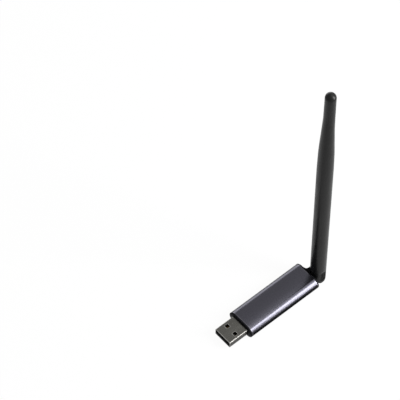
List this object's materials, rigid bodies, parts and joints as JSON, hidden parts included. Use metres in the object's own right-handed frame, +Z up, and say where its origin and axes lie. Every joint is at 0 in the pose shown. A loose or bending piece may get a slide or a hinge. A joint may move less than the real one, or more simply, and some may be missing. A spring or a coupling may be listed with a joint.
{
  "type": "smart home usb radio stick",
  "caption": "Flat aluminium radio stick with a USB plug at one end and a round rod antenna that folds on a side lug at the other.",
  "frame": {"origin": "on the surface that the stick lies on, under the middle of its overall length and width", "axes": "+X along the stick from the USB plug to the antenna's hinge, +Y across it towards the hinge lug's side, +Z up along the standing antenna"},
  "size_m": [0.072, 0.0186, 0.1699],
  "materials": {
    "sleeve_aluminium": "satin anodised, dark grey with a violet cast",
    "cap_plastic": "fine moulded grain, near black",
    "antenna_plastic": "satin moulded, black",
    "plug_nickel": "nickel plated sheet",
    "plug_insulator": "moulded, black",
    "contact_gold": "gold flashed",
    "tray_plastic": "natural moulding",
    "board_laminate": "green solder mask",
    "chip_moulding": "moulded package",
    "tin_sheet": "tinned sheet",
    "ceramic_body": "fired body with tinned ends",
    "brass_part": "drawn brass",
    "spring_steel": "bright",
    "lead_jacket": "extruded jacket",
    "spacer_foam": "foamed"
  },
  "bodies": {
    "stick": {"housing_sleeve": "sleeve_aluminium", "front_cap": "cap_plastic", "rear_cap": "cap_plastic", "usb_plug_shell": "plug_nickel", "usb_plug_insulator": "plug_insulator", "usb_plug_contacts": "contact_gold", "board_tray": "tray_plastic", "main_board": "board_laminate", "radio_module_board": "board_laminate", "radio_chip": "chip_moulding", "radio_shield": "tin_sheet", "usb_bridge_chip": "chip_moulding", "voltage_regulator": "chip_moulding", "crystal_can": "tin_sheet", "chip_capacitors": "ceramic_body", "chip_resistors": "ceramic_body", "coax_socket": "contact_gold", "coax_plug": "contact_gold", "coax_lead": "lead_jacket", "hinge_pivot": "brass_part", "friction_washer": "spring_steel"},
    "antenna": {"antenna_sheath": "antenna_plastic", "knuckle_cover": "antenna_plastic", "mast_lead": "lead_jacket", "ground_tube": "brass_part", "lead_spacers": "spacer_foam", "tube_centring_ring": "spacer_foam", "feed_cap": "brass_part", "feed_insulator": "spacer_foam", "radiator_rod": "brass_part", "tip_spacer": "spacer_foam"}
  },
  "joints": [
    {"name": "antenna_fold", "type": "hinge", "parent": "stick", "child": "antenna", "pos_m": [0.0315, 0, 0.00455], "axis": [0, 1, 0], "range_deg": [-4.5, 90]}
  ]
}
